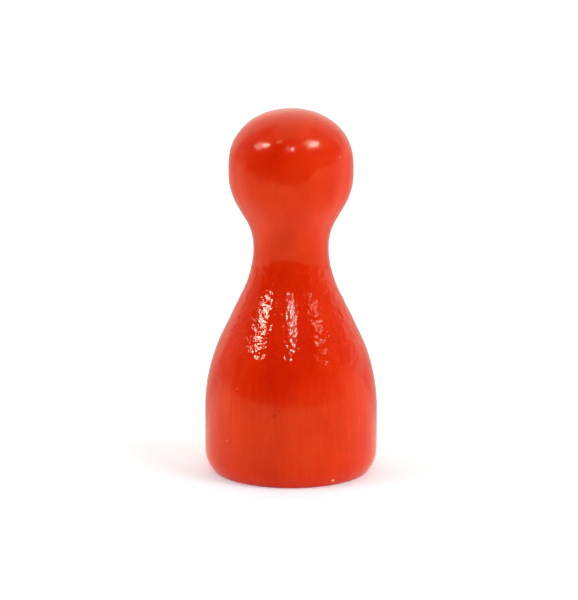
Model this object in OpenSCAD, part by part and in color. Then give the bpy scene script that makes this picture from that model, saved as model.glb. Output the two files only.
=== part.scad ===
// Turned wooden pawn for board games.
//
// A beech body is turned in one piece, dipped in glossy lacquer and then faced
// flat at the foot, which leaves a disc of bare end grain to stand on. Both
// solids are revolved about Z. The origin is the middle of the flat foot, and
// +Z runs up through the head. Lengths are in millimetres.
//
// The outline is a chain of arcs joined by their common tangents, so it stays
// smooth from the crown to the foot whatever the sizes are.

/* [Head] */
// Height from the flat foot to the top of the crown
height = 25.3; // [25:0.1:26.6]
// Diameter of the head
head_d = 8.6; // [8:0.1:9.2]
// Radius of the flattened crown
crown_r = 5.8; // [4.8:0.1:8]
// Radius of the brow, which joins the crown to the widest part of the head
brow_r = 3.7; // [3:0.1:3.8]
// Straight band between the brow and the round cheeks
head_band = 0.7; // [0.1:0.1:0.9]

/* [Neck] */
// Diameter of the neck at its narrowest point
neck_d = 5.2; // [4.8:0.1:5.8]
// How far the narrowest point lies below the centre of the cheeks
neck_drop = 5.1; // [4.8:0.1:5.6]
// Radius of the hollow curve from the neck up to the head
neck_upper_r = 3.8; // [3:0.1:4.2]
// Radius of the hollow curve from the neck down to the body
neck_lower_r = 7; // [6:0.1:8]

/* [Body] */
// Diameter of the straight part of the body
body_d = 12; // [11.6:0.1:12.6]
// Height at which the straight side ends and the shoulder begins
shoulder_z = 4.4; // [3:0.1:5]
// Radius of the shoulder curve
shoulder_r = 11.6; // [10:0.1:12.5]

/* [Foot] */
// Height at which the side starts to turn in towards the foot
tuck_z = 1.4; // [0.8:0.1:1.6]
// Radius of that turned-in curve
tuck_r = 2; // [1.9:0.1:3.5]

/* [Lacquer] */
// Thickness of the dried lacquer film
film = 0.12; // [0.06:0.01:0.2]

/* [Hidden] */

// Greatest distance between a true arc and the straight steps that stand for it
ARC_TOLERANCE = 0.003;
REVOLVE_FN = 160;

head_r = head_d / 2;
neck_r = neck_d / 2;
body_r = body_d / 2;

// The brow and the crown touch where their normals agree
brow_step = head_r - brow_r;
brow_z = height - crown_r + sqrt(pow(crown_r - brow_r, 2) - pow(brow_step, 2));
cheek_z = brow_z - head_band;
neck_z = cheek_z - neck_drop;

// Greatest sum of radii with which a hollow curve and a round one still have a
// tangent in common, for the step and the rise between their ends
function radius_room(step, rise) = (step * step + rise * rise) / (2 * step);

// Radii as asked for, or as large as there is room for
upper_r = min(neck_upper_r, radius_room(head_r - neck_r, neck_drop) - head_r);
ease = min(1, radius_room(body_r - neck_r, neck_z - shoulder_z)
    / (neck_lower_r + shoulder_r));
lower_r = neck_lower_r * ease;
side_r = shoulder_r * ease;

// Each bend is an arc, from the crown down: [centre radius, centre height, arc
// radius]. The arc radius is negative where the outline is hollow.
BENDS = [
    [0, height - crown_r, crown_r],
    [brow_step, brow_z, brow_r],
    [0, cheek_z, head_r],
    [neck_r + upper_r, neck_z, -upper_r],
    [neck_r + lower_r, neck_z, -lower_r],
    [body_r - side_r, shoulder_z, side_r],
    [body_r - tuck_r, tuck_z, tuck_r]
];
LAST = len(BENDS) - 1;

// Direction of the outward normal on the straight tangent that joins two bends
function join_angle(above, below) =
    let (
        across = below[0] - above[0],
        along = below[1] - above[1],
        ratio = (above[2] - below[2]) / norm([across, along])
    )
    atan2(along, across) + acos(min(1, max(-1, ratio)));

// Direction of the normal where the last bend meets the plane of the foot
function foot_angle(inset) = -asin(tuck_z / (tuck_r - inset));

// Points on one bend, moved inwards by inset, between two normal directions
function arc_points(bend, inset, from, to) =
    let (
        radius = bend[2] - inset,
        step = 2 * acos(1 - ARC_TOLERANCE / abs(radius)),
        count = max(1, ceil(abs(to - from) / step))
    )
    [
        for (i = [0 : count])
            let (angle = from + (to - from) * i / count)
            [bend[0] + radius * cos(angle), bend[1] + radius * sin(angle)]
    ];

// Drops each point that repeats the one before it, where two bends touch with
// no straight tangent between them
function without_repeats(points) = [
    for (i = [0 : len(points) - 1])
        if (i == 0 || norm(points[i] - points[i - 1]) > ARC_TOLERANCE)
            points[i]
];

// The outline, moved inwards by inset, from the axis at the crown down to the
// rim of the foot
function outline(inset) =
    let (
        joins = [for (i = [0 : LAST - 1]) join_angle(BENDS[i], BENDS[i + 1])],
        angles = concat([90], joins, [foot_angle(inset)])
    )
    without_repeats([
        for (i = [0 : LAST])
            each arc_points(BENDS[i], inset, angles[i], angles[i + 1])
    ]);

function reversed(points) = [
    for (i = [len(points) - 1 : -1 : 0]) points[i]
];

// Solid beech, with bare end grain at the flat foot
module turned_body() {
    color("burlywood")
        rotate_extrude($fn = REVOLVE_FN)
            polygon(concat(outline(film), [[0, 0]]));
}

// Film of lacquer over everything but the flat foot
module lacquer_coat() {
    color([0.84, 0.15, 0.04])
        rotate_extrude($fn = REVOLVE_FN)
            polygon(concat(outline(0), reversed(outline(film))));
}

turned_body();
lacquer_coat();
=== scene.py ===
"""Looks for a turned wooden pawn: glossy red lacquer over a beech core.

The pawn is round about Z and stands on its flat foot at the origin. Its outline
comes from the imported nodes. Lengths are in metres and written with MM, apart from
the settings that say they are in millimetres.
"""

import math

import bpy
import numpy as np
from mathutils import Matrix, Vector, noise


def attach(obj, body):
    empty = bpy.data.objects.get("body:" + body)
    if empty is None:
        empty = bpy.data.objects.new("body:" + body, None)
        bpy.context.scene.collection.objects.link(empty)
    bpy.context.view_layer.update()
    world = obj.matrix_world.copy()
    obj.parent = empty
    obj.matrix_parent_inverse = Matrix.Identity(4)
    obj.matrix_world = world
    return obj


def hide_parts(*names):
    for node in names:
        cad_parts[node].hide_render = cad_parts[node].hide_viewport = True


MM = 0.001
TURN = 2 * math.pi
WHITE = (1.0, 1.0, 1.0)
BLACK = (0.0, 0.0, 0.0)

# --- Camera -------------------------------------------------------------------
CAMERA_ELEVATION = math.radians(13)
CAMERA_DISTANCE = 250 * MM
CAMERA_AIM = Vector((-0.14 * MM, 0, 11.93 * MM))
CAMERA_LENS_MM = 217.6
CAMERA_SENSOR_MM = 36
CAMERA_NEAR = 10 * MM
CAMERA_FAR = 100

# --- Light --------------------------------------------------------------------
# Each lamp: name, azimuth and elevation seen from the pawn in degrees, with 0
# towards the camera and positive azimuths to its right, width and height in
# degrees as seen from the pawn, radiance, colour
GLOSS_LAMPS = [
    ("lamp_left", -66, 45, 14, 10, 18.0, (0.75, 1.00, 1.70)),
    ("halo_left", -76, 37, 18, 14, 5.0, (0.75, 1.00, 1.70)),
    ("lamp_right", 61, 46.5, 19, 10, 19.0, (0.75, 1.00, 1.75)),
    ("halo_right", 53, 53, 20, 12, 4.0, (0.75, 1.00, 1.75)),
    ("lamp_front", 3, 46, 3.5, 3, 100.0, (0.75, 1.00, 2.00)),
    ("lamp_small", -38, 61, 5, 4, 9.0, (1.00, 1.00, 1.20)),
]
FILL_LAMPS = [
    ("fill_left", -70, 42.5, 24, 18, 5.6, (1.0, 0.99, 0.97)),
    ("fill_right", 62, 46, 28, 18, 6.0, (1.0, 0.99, 0.97)),
    ("fill_low", 12, 10, 60, 18, 0.85, WHITE),
    ("fill_side_left", -98, 10, 50, 20, 2.0, WHITE),
    ("fill_side_right", 76, 10, 50, 20, 2.4, WHITE),
]
LAMP_DISTANCE = 2.0
# Area lamps give off energy / (4 * area) in each direction
LAMP_ENERGY_FACTOR = 4

# Each glow of the room: direction, cosine of the angle from it where the glow
# begins and where it is full, radiance. The last one lights the bare foot in views
# from below
GLOWS = [
    ((0.00, 0.71, 0.71), 0.05, 0.75, 0.28),
    ((0.00, 0.71, 0.71), 0.70, 0.98, 0.34),
    ((0.00, 0.00, 1.00), 0.86, 0.97, 0.75),
    ((0.10, 0.96, 0.24), 0.55, 0.57, 0.52),
    ((0.93, 0.28, -0.24), 0.85, 1.00, 1.00),
    ((0.99, -0.10, 0.05), 0.50, 1.00, 0.22),
    ((0.57, -0.05, 0.82), 0.85, 0.98, 0.25),
    ((-0.89, 0.22, 0.40), 0.78, 0.95, 0.20),
    ((0.00, 0.00, -1.00), 0.00, 1.00, 1.10),
]
ROOM_RADIANCE = 0.08
ROOM_COLOUR = (1.00, 0.99, 0.86)

# Curved cards that only the gloss sees. The wide one is the low edge of the
# camera. The strips light the flare, and the flags keep them off the head. Each
# card: name, distance from the pawn's axis, azimuth of its middle and half its
# width in degrees, low and high edge, rise of the low edge at the ends, radiance
# and colour; lengths are in millimetres
CARDS = [
    ("camera_edge", 46.5, -22, 64, 11.6, 35.5, 5, 0.02, WHITE),
    ("strip_left", 400.0, -62, 9.0, 235, 310, 0, 42.0, (0.75, 1.00, 1.70)),
    ("strip_front", 400.0, 2, 1.9, 298, 345, 0, 160.0, (0.75, 1.10, 2.60)),
    ("strip_right", 400.0, 58, 7.5, 250, 300, 0, 8.5, (0.75, 1.00, 1.75)),
    ("flag_left", 25.0, -54, 12, 31.5, 40.5, 0, 0.05, WHITE),
    ("flag_front", 25.0, 2, 8, 31.5, 41.5, 0, 0.02, WHITE),
    ("flag_right", 25.0, 51, 12, 31.5, 40.5, 0, 0.25, WHITE),
]
CARD_COLUMNS = 41

# --- Floor --------------------------------------------------------------------
FLOOR_RADIUS = 8.0
FLOOR_COLUMNS = 128
FLOOR_GAP = 0.01 * MM
# The hole under the pawn, as a share of the radius of its bare foot
FLOOR_HOLE_SHARE = 0.97
FLOOR_COLOUR = (0.93, 0.96, 1.00)
FLOOR_GLOW = (0.155, 0.185, 0.225)
# The paper as the lacquer reflects it, a painted reflection: warm near the pawn, and well behind it
# a painted shadow of the pawn
FLOOR_NEAR_GLOSS = (0.87, 0.82, 0.67)
FLOOR_SHADOW_GLOSS = (0.42, 0.40, 0.32)
# Distances behind the pawn in millimetres between which the painted reflection turns into the
# painted shadow, and how much they grow with the distance to either side
FLOOR_GLOSS_SPAN = (0, 9)
FLOOR_GLOSS_SPREAD = 0.5

# --- Meshes -------------------------------------------------------------------
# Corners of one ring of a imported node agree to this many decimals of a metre
RING_DECIMALS = 7

SKIN_COLUMNS = 400
SKIN_ROWS = 190
INNER_ROWS = 44
CORE_COLUMNS = 200
FOOT_ROWS = 105

# Distance between the points of an outline, and the length over which its slight
# corners are rounded off
OUTLINE_STEP = 0.02 * MM
OUTLINE_REACH = 0.3 * MM

# Rows of the skin lie closer together on the flare, where the relief is finest
FLARE_LOW = 8.0 * MM
FLARE_HIGH = 14.6 * MM
FLARE_EDGE = 0.6 * MM
FLARE_CLOSENESS = 3.0

# Corners below this height belong to the rim of the foot
RIM_LEVEL = 0.001 * MM

# --- Relief of the lacquer ------------------------------------------------------
# Each zone of the relief begins or ends gently between two heights in millimetres.
# The hollow is a shallow dip low on the front of the flare, and on its back, where
# the highlights thin out
HEAD_BEGINS = (14.5, 17.0)
CROWN_BEGINS = (23.2, 24.6)
FLARE_BEGINS = (6.5, 9.0)
FLARE_ENDS = (14.0, 15.5)
LOW_FLARE_ENDS = (9.9, 10.8)
BODY_ENDS = (7.0, 10.0)
HOLLOW_BEGINS = (5.0, 8.8)
HOLLOW_ENDS = (8.8, 10.8)

# Distances to the side in millimetres between which the left and the right of the
# flare begin, which have coarser peel, and those of the hollow's two edges
SIDE_BEGINS = (0.8, 1.3)
HOLLOW_LEFT = (-1.4, -0.5)
HOLLOW_RIGHT = (2.6, 3.6)

# The noises that make up the relief. Each: size of its lumps along X, Y and Z,
# and how far they stand out in each zone, in millimetres
RELIEF = [
    ((1.50, 1.50, 1.50), {"all": 0.006, "head": 0.014}),
    ((0.55, 0.55, 0.55), {"all": 0.003, "head": 0.005}),
    ((0.26, 0.26, 0.26), {"flare": 0.011, "flare_left": 0.001, "flare_right": 0.002}),
    (
        (0.50, 0.50, 0.45),
        {"flare": 0.004, "flare_left": 0.016, "flare_right": 0.026, "flare_low": 0.010},
    ),
    ((0.36, 0.36, 6.00), {"all": 0.001, "body": 0.007}),
    ((0.18, 0.18, 3.00), {"body": 0.004}),
]

# How deep the film lies below its nominal outline in each zone, in millimetres.
# The body and the crown stay inside the nominal box, lumps and all
INSETS = {"all": 0.010, "body": 0.030, "crown": 0.030, "hollow": 0.055}

# --- Lacquer --------------------------------------------------------------------
LACQUER_TONES = [
    (0.30, (0.640, 0.0130, 0.0004)),
    (0.55, (0.720, 0.0190, 0.0008)),
    (0.85, (0.790, 0.0340, 0.0030)),
]
LACQUER_TINT = (1.0, 0.68, 0.28)
LACQUER_IOR = 1.46

# Its noises. Each: scale in lumps a metre along X, Y and Z, detail, roughness
MOTTLE = ((420, 420, 300), 3.0, 0.5)
STREAKS = ((3000, 3000, 170), 5.0, 0.65)
SMEARS = ((900, 900, 500), 3.0, 0.5)
PEEL = ((5600, 5600, 5600), 0.0, 0.5)
NOISE_MIDDLE = 0.5

# Heights in millimetres between which the streaked body and the peel come in
STREAKED_BODY = (9.0, 6.0)
PEEL_ENDS = (15.0, 14.0)

# How strong the streaks are on the head and on the body, and the bump of the peel
# off and on the flare
STREAK_STRENGTHS = (0.25, 0.8)
PEEL_STRENGTHS = (0.05, 0.36)
PEEL_BUMP = 0.05 * MM

# Roughness where the smears are weakest and strongest, and what the head and the
# body add to it
SMEAR_SPAN = (0.3, 0.7)
SMEAR_ROUGHNESS = (0.08, 0.14)
HEAD_ROUGHNESS = 0.04
BODY_ROUGHNESS = 0.05

# Each blemish: azimuth in degrees, height, radius and depth in millimetres, colour
WOOD_SHOWING = (0.870, 0.560, 0.330)
# Pale pink: specks of dust low on the body, and painted glints on the head
DUST_AND_GLINT = (0.860, 0.150, 0.060)
# Darker red, laid over the two shallow dips
DARKER_RED = (0.520, 0.0080, 0.0004)
BLEMISHES = [
    (30.5, 0.36, 0.11, 0.04, WOOD_SHOWING),
    (-47.2, 3.00, 0.07, 0.00, DUST_AND_GLINT),
    (-40.0, 6.74, 0.06, 0.00, DUST_AND_GLINT),
    (-11.0, 5.25, 0.15, 0.02, DARKER_RED),
    (-8.4, 5.55, 0.10, 0.01, DARKER_RED),
    # Two painted glints: pale dots on small raised nibs on the head
    (52.8, 22.47, 0.07, -0.01, DUST_AND_GLINT),
    (-67.0, 23.92, 0.05, -0.01, DUST_AND_GLINT),
]
# Where a blemish's colour begins and is full, as shares of its radius
BLEMISH_EDGE = (1.4, 0.7)

# --- Beech ----------------------------------------------------------------------
BEECH_PALE = (0.74, 0.52, 0.31)
BEECH_DARK = (0.52, 0.32, 0.17)
BEECH_RAY = (0.80, 0.60, 0.40)

# The middle of the tree and the width of a year's ring, seen in the end grain
PITH = Vector((-9 * MM, 4 * MM, 0))
RING_WIDTH = 1.3 * MM

# Its noises, told as the lacquer's are, and the length, width and depth of a ray
YEAR_WOBBLE = ((500, 500, 60), 2.0, 0.5)
PORES = ((9000, 9000, 200), 2.0, 0.5)
RAY_SIZE = (2.4 * MM, 0.16 * MM, 20 * MM)

# Each span: the values where it begins and ends, and what it makes of them
LATE_WOOD_SPAN = (0.55, 0.98, 0.0, 1.0)
PORE_TONE_SPAN = (0.42, 0.70, 0.0, 0.45)
PORE_ROUGHNESS_SPAN = (0.3, 0.7, 0.55, 0.72)
RAY_SPAN = (0.58, 0.68, 0.0, 0.7)
LATE_WOOD_TONE = 0.55

# Marks on the bare foot, as heights above the plane that it stands on
FOOT_HEIGHT = 0.012 * MM
RIDGE_HEIGHT = 0.006 * MM
RIDGE_STEP = 0.28 * MM
FIBRE_HEIGHT = 0.004 * MM
FIBRE_SIZE = (0.12 * MM, 0.12 * MM, 1.0)
YEAR_HEIGHT = 0.004 * MM


# --- Outlines -------------------------------------------------------------------
def ring_points(node):
    """Radius and height of every ring of a turned node, from the top down."""
    corners = np.array([v.co for v in node.data.vertices])
    radii = np.hypot(corners[:, 0], corners[:, 1])
    places = np.round(np.column_stack([corners[:, 2], radii]), RING_DECIMALS)
    rings = np.unique(places, axis=0)
    return rings[::-1, ::-1]


def outer_rings(coat, core):
    """The rings on the outside of the coat: those that the core doesn't have."""
    film = coat[0, 1] - core[0, 1]
    gaps = np.linalg.norm(coat[:, None] - core[None], axis=2).min(axis=1)
    return coat[gaps > film / 2]


def both_columns(change, values):
    """A change made to each of the two columns of values."""
    return np.column_stack([change(values[:, 0]), change(values[:, 1])])


def lengthened(rings, extra):
    """Rings with their mirror image before them and a straight tail after them.

    Also gives the distance along the path, which is 0 at the first of the rings.
    """
    mirrored = np.column_stack([-rings[:0:-1, 0], rings[:0:-1, 1]])
    last = rings[-1] - rings[-2]
    tail = rings[-1] + last / np.linalg.norm(last) * extra
    path = np.vstack([mirrored, rings, tail])
    lengths = np.linalg.norm(np.diff(path, axis=0), axis=1)
    along = np.concatenate([[0], np.cumsum(lengths)]) - lengths[: len(mirrored)].sum()
    return path, along


def smooth_outline(rings):
    """Close, even points along the rings, with the slight corners rounded off."""
    extra = 3 * OUTLINE_REACH
    path, along = lengthened(rings, extra)
    end = along[-2]
    places = np.arange(-extra, end + extra, OUTLINE_STEP)
    points = both_columns(lambda column: np.interp(places, along, column), path)
    # An odd count of points keeps the window centred
    window = np.ones(int(OUTLINE_REACH / OUTLINE_STEP) | 1)
    window /= window.sum()
    for _ in range(2):
        points = both_columns(lambda column: np.convolve(column, window, "same"), points)
    points = points[(places >= 0) & (places <= end)]
    points[0, 0] = 0
    points[-1, 1] = 0
    return points


def row_weights(points, closeness):
    """The length of each step along an outline, times closeness on the flare."""
    steps = np.linalg.norm(np.diff(points, axis=0), axis=1)
    heights = (points[1:, 1] + points[:-1, 1]) / 2
    on_flare = 1 / (1 + np.exp(-(heights - FLARE_LOW) / FLARE_EDGE))
    on_flare *= 1 / (1 + np.exp((heights - FLARE_HIGH) / FLARE_EDGE))
    return steps * (1 + (closeness - 1) * on_flare)


def outline_rows(points, count, closeness=1.0):
    """Points and outward normals of rows along an outline, closer on the flare."""
    weight = row_weights(points, closeness)
    share = np.concatenate([[0], np.cumsum(weight)]) / weight.sum()
    wanted = np.linspace(0, 1, count + 1)
    rows = both_columns(lambda column: np.interp(wanted, share, column), points)
    slopes = np.gradient(points, axis=0)
    slopes = both_columns(lambda column: np.interp(wanted, share, column), slopes)
    normals = np.column_stack([-slopes[:, 1], slopes[:, 0]])
    normals /= np.linalg.norm(normals, axis=1)[:, None]
    normals[0] = (0, 1)
    return rows, normals


def surface_point(outline, azimuth, height):
    """The point of an outline's surface at an azimuth and a height in millimetres."""
    radius = np.interp(height * MM, outline[::-1, 1], outline[::-1, 0])
    a = math.radians(azimuth)
    return Vector((math.sin(a) * radius, -math.cos(a) * radius, height * MM))


# --- Turned meshes --------------------------------------------------------------
def revolved(rows, columns):
    """Corner positions of an outline turned about Z, leaving out its first point."""
    angles = np.arange(columns) * TURN / columns
    ring = np.column_stack([np.cos(angles), np.sin(angles)])
    flat = rows[1:, None, 0, None] * ring[None]
    heights = np.broadcast_to(rows[1:, 1][:, None, None], (len(rows) - 1, columns, 1))
    return np.concatenate([flat, heights], axis=2).reshape(-1, 3)


def ring_faces(rings, columns):
    """Four-sided faces between neighbouring rings."""
    ring, column = np.meshgrid(np.arange(rings - 1), np.arange(columns), indexing="ij")
    after = (column + 1) % columns
    upper = ring * columns
    lower = upper + columns
    faces = np.stack([upper + column, lower + column, lower + after, upper + after], axis=2)
    return faces.reshape(-1, 4).tolist()


def fan_faces(centre, first, columns):
    """Triangles between one point and the ring that is numbered from first."""
    return [(centre, first + i, first + (i + 1) % columns) for i in range(columns)]


def flipped(faces):
    return [tuple(reversed(face)) for face in faces]


def closed_faces(rings, columns):
    """Faces of rings closed at both ends by the two points that come after them."""
    first_end = rings * columns
    last_ring = first_end - columns
    faces = ring_faces(rings, columns)
    faces += fan_faces(first_end, 0, columns)
    faces += flipped(fan_faces(first_end + 1, last_ring, columns))
    return faces


def make_piece(name, corners, faces, material):
    """A smooth-shaded mesh object."""
    mesh = bpy.data.meshes.new(name)
    mesh.from_pydata([tuple(c) for c in corners], [], faces)
    mesh.materials.append(material)
    mesh.shade_smooth()
    mesh.update()
    piece = bpy.data.objects.new(name, mesh)
    bpy.context.scene.collection.objects.link(piece)
    return piece


# --- Relief ---------------------------------------------------------------------
def fade(value, low, high):
    """0 below low, 1 above high, and smooth between them."""
    t = min(1, max(0, (value - low) / (high - low)))
    return t * t * (3 - 2 * t)


def lumps(point, size):
    """Smooth noise from about -1 to 1 with lumps of the given sizes along X, Y, Z."""
    return noise.noise(Vector((point[0] / size[0], point[1] / size[1], point[2] / size[2])))


def zone_shares(across, height):
    """How far a place in millimetres belongs to each zone of relief, from 0 to 1."""
    flare = fade(height, *FLARE_BEGINS) * (1 - fade(height, *FLARE_ENDS))
    left = fade(-across, *SIDE_BEGINS)
    right = fade(across, *SIDE_BEGINS)
    low = (1 - fade(height, *LOW_FLARE_ENDS)) * (1 - left) * (1 - right)
    hollow = fade(height, *HOLLOW_BEGINS) * (1 - fade(height, *HOLLOW_ENDS))
    hollow *= fade(across, *HOLLOW_LEFT) * (1 - fade(across, *HOLLOW_RIGHT))
    return {
        "all": 1,
        "head": fade(height, *HEAD_BEGINS),
        "crown": fade(height, *CROWN_BEGINS),
        "body": 1 - fade(height, *BODY_ENDS),
        "flare": flare,
        "flare_left": flare * left,
        "flare_right": flare * right,
        "flare_low": flare * low,
        "hollow": hollow,
    }


def blend_of_zones(amounts, shares):
    """The sum of each zone's amount times its share in a place."""
    return sum(amount * shares[zone] for zone, amount in amounts.items())


def skin_depth(point):
    """How far the lacquer's surface lies below its nominal outline at a point."""
    place = point / MM
    shares = zone_shares(place[0], place[2])
    relief = sum(lumps(place, size) * blend_of_zones(heights, shares) for size, heights in RELIEF)
    return (blend_of_zones(INSETS, shares) - relief) * MM


def blemish_depths(corners, outline):
    """How much deeper the blemishes make the surface at each corner."""
    depths = np.zeros(len(corners))
    for azimuth, height, radius, depth, _ in BLEMISHES:
        middle = np.array(surface_point(outline, azimuth, height))
        distances = np.linalg.norm(corners - middle, axis=1)
        depths += depth * MM * np.exp(-((distances / (radius * MM)) ** 2))
    return depths


def foot_height(point):
    """How high the tool marks and the grain leave the bare foot above the floor."""
    radius = math.hypot(point[0], point[1])
    ridges = 0.5 + 0.5 * math.cos(TURN * radius / RIDGE_STEP)
    years = math.sin(TURN * math.hypot(point[0] - PITH.x, point[1] - PITH.y) / RING_WIDTH)
    marks = RIDGE_HEIGHT * ridges + FIBRE_HEIGHT * lumps(point, FIBRE_SIZE)
    return FOOT_HEIGHT + marks + YEAR_HEIGHT * years


# --- Materials ------------------------------------------------------------------
class Nodes:
    """Short calls for building the node tree of a material or a world, the owner."""

    def __init__(self, owner, shader_name):
        owner.use_nodes = True
        self.owner = owner
        self.tree = owner.node_tree
        self.shader = self.tree.nodes[shader_name]

    def feed(self, socket, value):
        """Links an output to an input socket, or sets the socket's plain value."""
        if isinstance(value, bpy.types.NodeSocket):
            self.tree.links.new(value, socket)
        else:
            socket.default_value = value

    def put(self, node, **inputs):
        """Feeds a node's inputs; a _ in a name stands for a space."""
        for key, value in inputs.items():
            self.feed(node.inputs[key.replace("_", " ")], value)

    def add(self, kind, settings=None, **inputs):
        node = self.tree.nodes.new(kind)
        for key, value in (settings or {}).items():
            setattr(node, key, value)
        self.put(node, **inputs)
        return node

    def operate(self, kind, operation, first, second):
        node = self.add(kind, {"operation": operation})
        self.feed(node.inputs[0], first)
        self.feed(node.inputs[1], second)
        return node.outputs

    def maths(self, operation, first, second=0.0):
        return self.operate("ShaderNodeMath", operation, first, second)["Value"]

    def vectors(self, operation, first, second):
        return self.operate("ShaderNodeVectorMath", operation, first, second)

    def span(self, value, low, high, to_low=0.0, to_high=1.0):
        """Maps low..high smoothly to to_low..to_high and holds it there outside."""
        node = self.add("ShaderNodeMapRange", {"interpolation_type": "SMOOTHSTEP"}, Value=value)
        self.put(node, From_Min=low, From_Max=high, To_Min=to_low, To_Max=to_high)
        return node.outputs["Result"]

    def coordinates(self, kind="Object"):
        return self.add("ShaderNodeTexCoord").outputs[kind]

    def noise(self, scale, detail, roughness):
        """Noise with the given lumps a metre along X, Y and Z."""
        place = self.add("ShaderNodeMapping", Vector=self.coordinates(), Scale=scale)
        node = self.add("ShaderNodeTexNoise", Vector=place.outputs["Vector"], Scale=1.0)
        self.put(node, Detail=detail, Roughness=roughness)
        return node.outputs["Fac"]

    def millimetres(self):
        """X, Y and Z in millimetres."""
        place = self.add("ShaderNodeMapping", Vector=self.coordinates(), Scale=(1 / MM,) * 3)
        return self.add("ShaderNodeSeparateXYZ", Vector=place.outputs["Vector"]).outputs

    def mix(self, factor, first, second):
        """The first colour where factor is 0, the second where it is 1."""
        node = self.add("ShaderNodeMix", {"data_type": "RGBA"})
        sockets = {socket.name: socket for socket in node.inputs if socket.enabled}
        self.feed(sockets["Factor"], factor)
        self.feed(sockets["A"], first)
        self.feed(sockets["B"], second)
        return next(socket for socket in node.outputs if socket.enabled)

    def ramp(self, value, stops):
        """Colours that follow a value from stop to stop."""
        node = self.add("ShaderNodeValToRGB", Fac=value)
        elements = node.color_ramp.elements
        while len(elements) < len(stops):
            elements.new(0.5)
        for element, (position, colour) in zip(elements, stops):
            element.position = position
            element.color = (*colour, 1)
        return node.outputs["Color"]


def material_nodes(name):
    return Nodes(bpy.data.materials.new(name), "Principled BSDF")


def blemished(nodes, colour, outline):
    """The colour with each blemish's colour over it; the two pale dots on the head are painted
    glints.
    """
    begins, full = BLEMISH_EDGE
    for azimuth, height, radius, _, spot in BLEMISHES:
        middle = surface_point(outline, azimuth, height)
        distance = nodes.vectors("DISTANCE", nodes.coordinates(), middle)["Value"]
        over = nodes.span(distance, radius * begins * MM, radius * full * MM)
        colour = nodes.mix(over, colour, (*spot, 1))
    return colour


def lacquer_colour(nodes, on_body, outline):
    """Mottled red with the wood's streaks, most of them on the body, and the blemishes, two of them
    painted glints.
    """
    streaks = nodes.maths("SUBTRACT", nodes.noise(*STREAKS), NOISE_MIDDLE)
    strength = nodes.span(on_body, 0.0, 1.0, *STREAK_STRENGTHS)
    streaked = nodes.maths("MULTIPLY", streaks, strength)
    tone = nodes.maths("ADD", nodes.noise(*MOTTLE), streaked)
    return blemished(nodes, nodes.ramp(tone, LACQUER_TONES), outline)


def lacquer_roughness(nodes, on_head, on_body):
    """Faint smears, and a little less gloss on the head and the body."""
    roughness = nodes.span(nodes.noise(*SMEARS), *SMEAR_SPAN, *SMEAR_ROUGHNESS)
    roughness = nodes.maths("ADD", roughness, nodes.maths("MULTIPLY", on_head, HEAD_ROUGHNESS))
    return nodes.maths("ADD", roughness, nodes.maths("MULTIPLY", on_body, BODY_ROUGHNESS))


def lacquer_material(outline):
    nodes = material_nodes("red_lacquer")
    height = nodes.millimetres()["Z"]
    on_body = nodes.span(height, *STREAKED_BODY)
    on_head = nodes.span(height, *HEAD_BEGINS)
    flare_begins = nodes.span(height, *FLARE_BEGINS)
    on_flare = nodes.maths("MULTIPLY", flare_begins, nodes.span(height, *PEEL_ENDS))
    peel = nodes.add("ShaderNodeBump", Height=nodes.noise(*PEEL), Distance=PEEL_BUMP)
    nodes.put(peel, Strength=nodes.span(on_flare, 0.0, 1.0, *PEEL_STRENGTHS))
    nodes.put(
        nodes.shader,
        Base_Color=lacquer_colour(nodes, on_body, outline),
        Roughness=lacquer_roughness(nodes, on_head, on_body),
        IOR=LACQUER_IOR,
        Specular_Tint=(*LACQUER_TINT, 1),
        Normal=peel.outputs["Normal"],
    )
    return nodes.owner


def beech_rays(nodes):
    """Noise drawn out along the rays, which run from the pith to the foot's middle."""
    kind = {"vector_type": "TEXTURE"}
    along = nodes.add("ShaderNodeMapping", kind, Vector=nodes.coordinates(), Location=PITH)
    nodes.put(along, Rotation=(0, 0, math.atan2(-PITH.y, -PITH.x)), Scale=RAY_SIZE)
    return nodes.add("ShaderNodeTexNoise", Vector=along.outputs["Vector"], Scale=1.0).outputs["Fac"]


def beech_late_wood(nodes):
    """The dark part of each year's ring, growing from 0 to 1 and ending sharply."""
    flat = nodes.vectors("MULTIPLY", nodes.coordinates(), (1, 1, 0))["Vector"]
    from_pith = nodes.vectors("DISTANCE", flat, PITH)["Value"]
    years = nodes.maths("DIVIDE", from_pith, RING_WIDTH)
    years = nodes.maths("ADD", years, nodes.noise(*YEAR_WOBBLE))
    return nodes.span(nodes.maths("FRACT", years), *LATE_WOOD_SPAN)


def beech_material():
    """End grain: rings round the pith, pores, and pale rays out from the pith."""
    nodes = material_nodes("beech")
    pores = nodes.noise(*PORES)
    late_wood = nodes.maths("MULTIPLY", beech_late_wood(nodes), LATE_WOOD_TONE)
    tone = nodes.maths("ADD", late_wood, nodes.span(pores, *PORE_TONE_SPAN))
    colour = nodes.ramp(tone, [(0.0, BEECH_PALE), (1.0, BEECH_DARK)])
    colour = nodes.mix(nodes.span(beech_rays(nodes), *RAY_SPAN), colour, (*BEECH_RAY, 1))
    nodes.put(nodes.shader, Base_Color=colour, Roughness=nodes.span(pores, *PORE_ROUGHNESS_SPAN))
    return nodes.owner


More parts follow.
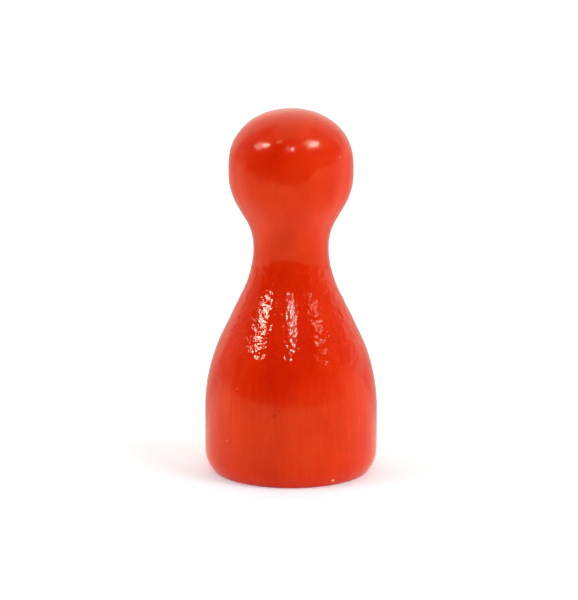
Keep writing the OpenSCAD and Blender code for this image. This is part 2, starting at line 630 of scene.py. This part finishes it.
def paper_colour(nodes):
    """Plain paper, and a painted reflection of it that only the lacquer sees: pale near by, with a
    painted shadow behind the pawn.
    """
    place = nodes.millimetres()
    spread = nodes.maths("MULTIPLY", nodes.maths("ABSOLUTE", place["X"]), FLOOR_GLOSS_SPREAD)
    shadow_behind = nodes.maths("SUBTRACT", place["Y"], spread)
    shadow_behind = nodes.span(shadow_behind, *FLOOR_GLOSS_SPAN)
    painted_reflection = nodes.ramp(shadow_behind, [(0.0, FLOOR_NEAR_GLOSS), (1.0, FLOOR_SHADOW_GLOSS)])
    glossy = nodes.add("ShaderNodeLightPath").outputs["Is Glossy Ray"]
    return nodes.mix(glossy, (*FLOOR_COLOUR, 1), painted_reflection)


def make_matt(nodes, colour, glow, strength):
    """No gloss at all, but a glow of its own."""
    nodes.put(nodes.shader, Base_Color=colour, Specular_IOR_Level=0.0)
    nodes.put(nodes.shader, Emission_Color=(*glow, 1), Emission_Strength=strength)


def floor_material():
    """White paper that shows only from above, so the foot can be seen from below."""
    nodes = material_nodes("white_paper")
    make_matt(nodes, paper_colour(nodes), FLOOR_GLOW, 1.0)
    nodes.put(nodes.shader, Roughness=1.0)
    below = nodes.add("ShaderNodeNewGeometry").outputs["Backfacing"]
    clear = nodes.add("ShaderNodeBsdfTransparent").outputs["BSDF"]
    mix = nodes.add("ShaderNodeMixShader", Fac=below)
    nodes.feed(mix.inputs[1], nodes.shader.outputs["BSDF"])
    nodes.feed(mix.inputs[2], clear)
    nodes.put(nodes.tree.nodes["Material Output"], Surface=mix.outputs["Shader"])
    return nodes.owner


def card_material(name, radiance, colour):
    """Plain black with an even glow, which only the rays that meet it pick up."""
    nodes = material_nodes(name)
    make_matt(nodes, (*BLACK, 1), colour, radiance)
    nodes.owner.cycles.emission_sampling = "NONE"
    return nodes.owner


# --- Pieces ---------------------------------------------------------------------
def skin_corners(outer):
    """The finely worked outside of the film, and the point on top of it."""
    rows, normals = outline_rows(outer, SKIN_ROWS, FLARE_CLOSENESS)
    corners = revolved(rows, SKIN_COLUMNS)
    directions = revolved(normals, SKIN_COLUMNS)
    depths = np.array([skin_depth(corner) for corner in corners])
    depths += blemish_depths(corners, outer)
    # The rim moves only inwards, so it stays in the plane of the foot
    directions[corners[:, 2] < RIM_LEVEL, 2] = 0
    corners -= directions * depths[:, None]
    top = np.array([0, 0, rows[0, 1]])
    top[2] -= skin_depth(top)
    return corners, top


def make_lacquer(outer, inner):
    """A closed film: a finely worked outside, and a plain inside on the wood."""
    skin, skin_top = skin_corners(outer)
    rows, _ = outline_rows(inner, INNER_ROWS)
    inside = revolved(rows, SKIN_COLUMNS).reshape(INNER_ROWS, SKIN_COLUMNS, 3)
    from_foot_up = inside[::-1].reshape(-1, 3)
    corners = np.vstack([skin, from_foot_up, skin_top, (0, 0, rows[0, 1])])
    faces = closed_faces(SKIN_ROWS + INNER_ROWS, SKIN_COLUMNS)
    return make_piece("lacquer_film", corners, faces, lacquer_material(outer))


def make_core(inner):
    """The turned beech, with tool marks on the bare foot."""
    rows, _ = outline_rows(inner, INNER_ROWS)
    side = revolved(rows, CORE_COLUMNS)
    radii = np.linspace(rows[-1, 0], 0, FOOT_ROWS + 1)[:-1]
    foot = revolved(np.column_stack([radii, np.zeros(len(radii))]), CORE_COLUMNS)
    foot[:, 2] += [foot_height(point) for point in foot]
    ends = [(0, 0, rows[0, 1]), (0, 0, foot_height((0, 0, 0)))]
    corners = np.vstack([side, foot, ends])
    faces = closed_faces(INNER_ROWS + len(radii) - 1, CORE_COLUMNS)
    return make_piece("beech_body", corners, faces, beech_material())


# --- Stage ----------------------------------------------------------------------
def make_floor(hole):
    """A wide white floor, open only where the foot covers it."""
    # The first row is left out when the others are turned into rings
    rows = np.array([[0, 0], [FLOOR_RADIUS, 0], [hole, 0]])
    corners = revolved(rows, FLOOR_COLUMNS)
    corners[:, 2] = -FLOOR_GAP
    faces = flipped(ring_faces(2, FLOOR_COLUMNS))
    floor = make_piece("floor", corners, faces, floor_material())


def make_camera():
    data = bpy.data.cameras.new("camera")
    data.lens = CAMERA_LENS_MM
    data.sensor_width = CAMERA_SENSOR_MM
    data.clip_start = CAMERA_NEAR
    data.clip_end = CAMERA_FAR
    camera = bpy.data.objects.new("camera", data)
    bpy.context.scene.collection.objects.link(camera)
    back = Vector((0, -math.cos(CAMERA_ELEVATION), math.sin(CAMERA_ELEVATION)))
    camera.location = CAMERA_AIM + back * CAMERA_DISTANCE
    camera.rotation_mode = "QUATERNION"
    camera.rotation_quaternion = (-back).to_track_quat("-Z", "Y")
    bpy.context.scene.camera = camera


def make_card(name, distance, middle, half_width, low, high, rise, radiance, colour):
    """A curved card that stands in the pawn's reflections and nowhere else."""
    across = np.linspace(-1, 1, CARD_COLUMNS)
    bend = np.radians(middle + half_width * across)
    ring = np.column_stack([np.sin(bend), -np.cos(bend)]) * distance
    bottom = np.column_stack([ring, low + rise * across**4])
    top = np.column_stack([ring, np.full(CARD_COLUMNS, high)])
    corners = np.vstack([bottom, top]) * MM
    faces = [
        (i, i + 1, i + 1 + CARD_COLUMNS, i + CARD_COLUMNS) for i in range(CARD_COLUMNS - 1)
    ]
    card = make_piece(name, corners, faces, card_material(name, radiance, colour))
    card.visible_camera = False
    card.visible_diffuse = False
    card.visible_transmission = False
    card.visible_shadow = False


def sky_direction(azimuth, elevation):
    """Unit vector for an azimuth from the camera's side and an elevation, in degrees."""
    a = math.radians(azimuth)
    e = math.radians(elevation)
    return Vector((math.sin(a) * math.cos(e), -math.cos(a) * math.cos(e), math.sin(e)))


def lamp_size(degrees):
    """Size of a lamp that looks that wide from the pawn."""
    return 2 * LAMP_DISTANCE * math.tan(math.radians(degrees / 2))


def make_lamp(name, azimuth, elevation, width, height, radiance, colour):
    """A soft oval lamp that faces the pawn and isn't seen by the camera."""
    data = bpy.data.lights.new(name, "AREA")
    data.shape = "ELLIPSE"
    data.size = lamp_size(width)
    data.size_y = lamp_size(height)
    area = math.pi / 4 * data.size * data.size_y
    data.energy = LAMP_ENERGY_FACTOR * area * radiance
    data.color = colour
    lamp = bpy.data.objects.new(name, data)
    bpy.context.scene.collection.objects.link(lamp)
    towards = sky_direction(azimuth, elevation)
    lamp.location = CAMERA_AIM + towards * LAMP_DISTANCE
    lamp.rotation_mode = "QUATERNION"
    lamp.rotation_quaternion = towards.to_track_quat("Z", "Y")
    lamp.visible_camera = False
    return lamp


def make_surroundings():
    """The room as soft glows round the pawn, and plain white to the camera."""
    nodes = Nodes(bpy.data.worlds.new("studio"), "Background")
    where = nodes.coordinates("Generated")
    light = ROOM_RADIANCE
    for direction, begins, full, radiance in GLOWS:
        middle = Vector(direction).normalized()
        facing = nodes.vectors("DOT_PRODUCT", where, middle)["Value"]
        light = nodes.maths("ADD", light, nodes.span(facing, begins, full, 0.0, radiance))
    seen = nodes.add("ShaderNodeLightPath").outputs["Is Camera Ray"]
    colour = nodes.ramp(seen, [(0.0, ROOM_COLOUR), (1.0, WHITE)])
    nodes.put(nodes.shader, Color=colour, Strength=nodes.maths("MAXIMUM", seen, light))
    bpy.context.scene.world = nodes.owner


# --- Scene ----------------------------------------------------------------------
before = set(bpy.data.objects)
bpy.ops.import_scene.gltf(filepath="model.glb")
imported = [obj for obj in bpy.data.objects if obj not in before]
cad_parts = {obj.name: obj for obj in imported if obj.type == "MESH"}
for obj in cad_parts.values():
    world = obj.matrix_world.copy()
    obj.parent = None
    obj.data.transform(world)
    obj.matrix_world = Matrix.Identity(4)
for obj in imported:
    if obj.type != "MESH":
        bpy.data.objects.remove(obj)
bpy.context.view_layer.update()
make_camera()

core_rings = ring_points(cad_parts["turned_body"])
coat_rings = ring_points(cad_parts["lacquer_coat"])
core_outline = smooth_outline(core_rings)
coat_outline = smooth_outline(outer_rings(coat_rings, core_rings))

lacquer = make_lacquer(coat_outline, core_outline)
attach(lacquer, "root")
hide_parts("lacquer_coat")

core = make_core(core_outline)
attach(core, "root")
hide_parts("turned_body")

make_floor(core_outline[-1, 0] * FLOOR_HOLE_SHARE)
for lamp in GLOSS_LAMPS:
    make_lamp(*lamp).visible_diffuse = False
for lamp in FILL_LAMPS:
    make_lamp(*lamp).visible_glossy = False
for card in CARDS:
    make_card(*card)
make_surroundings()
bpy.context.scene.view_settings.view_transform = "Standard"
